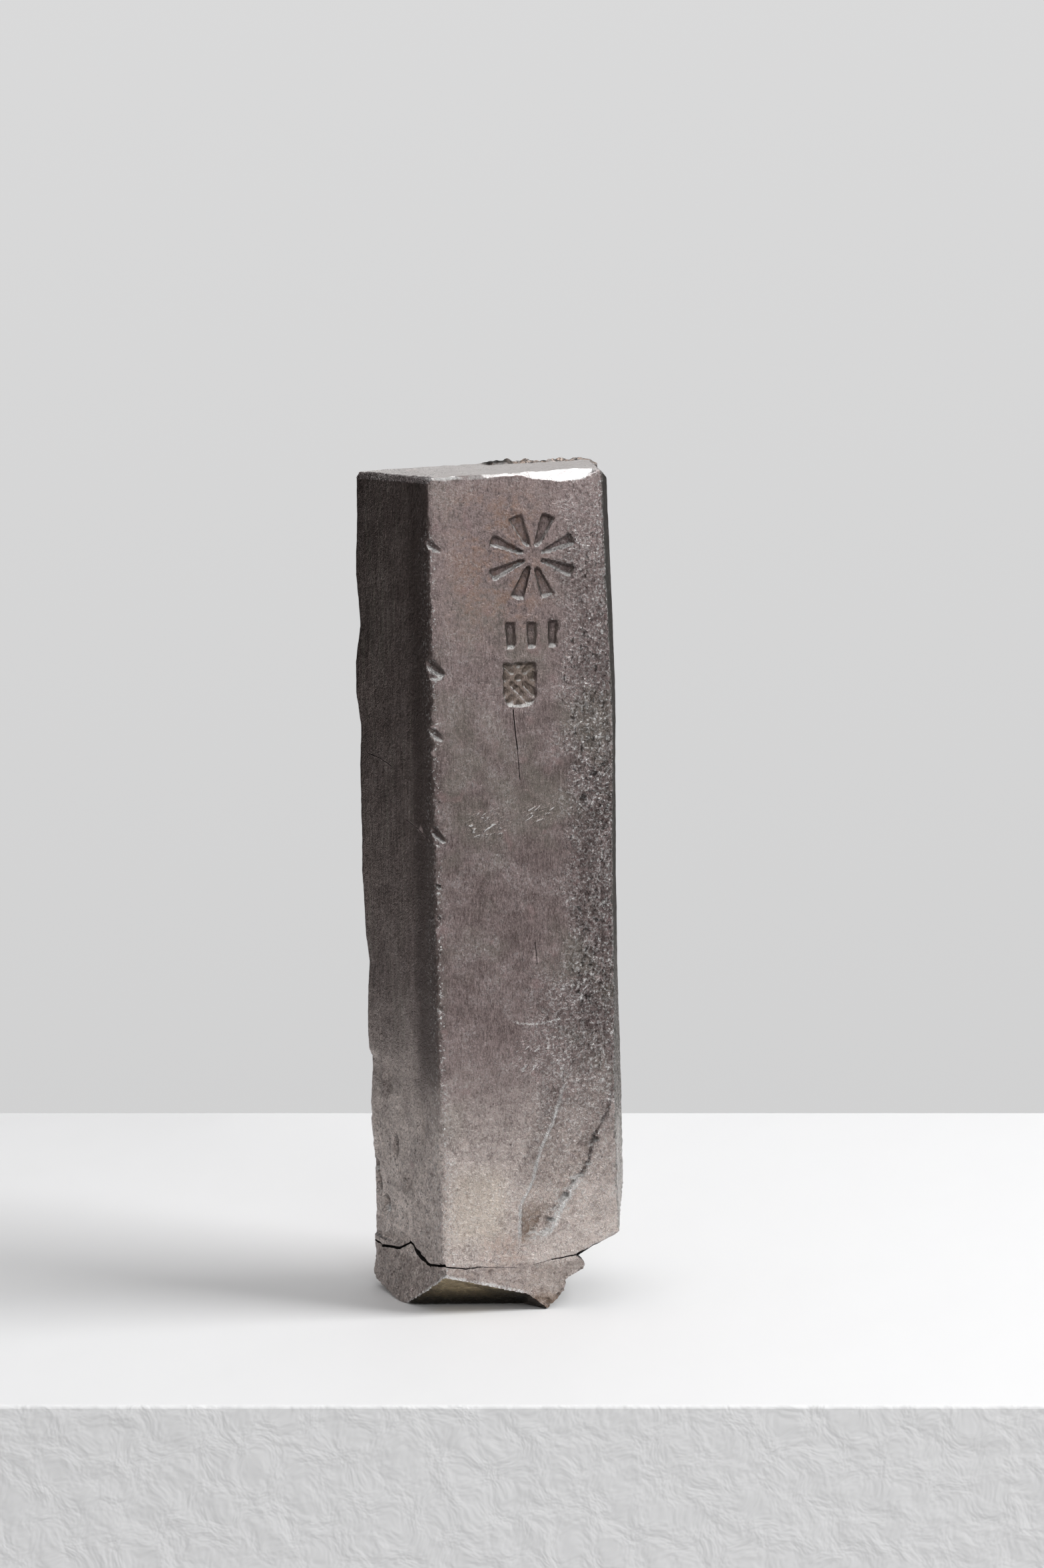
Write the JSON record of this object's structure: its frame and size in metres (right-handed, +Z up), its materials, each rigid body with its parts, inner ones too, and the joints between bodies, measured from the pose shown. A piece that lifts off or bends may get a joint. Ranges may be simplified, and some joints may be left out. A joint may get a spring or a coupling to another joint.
{
  "type": "silver ingot",
  "caption": "Cast silver ingot of tapered trapezoid section, standing on its worn lower end, with struck marks and a lapped, corroded surface",
  "frame": {"origin": "bottom centre of the overall box, on the level that the ingot stands on", "axes": "+Z up along the ingot, marked narrow face toward -Y, broad back face toward +Y"},
  "size_m": [0.054, 0.0284, 0.163],
  "materials": {
    "silver": "tarnished cast silver"
  },
  "bodies": {
    "root": {"ingot": "silver"}
  },
  "joints": []
}
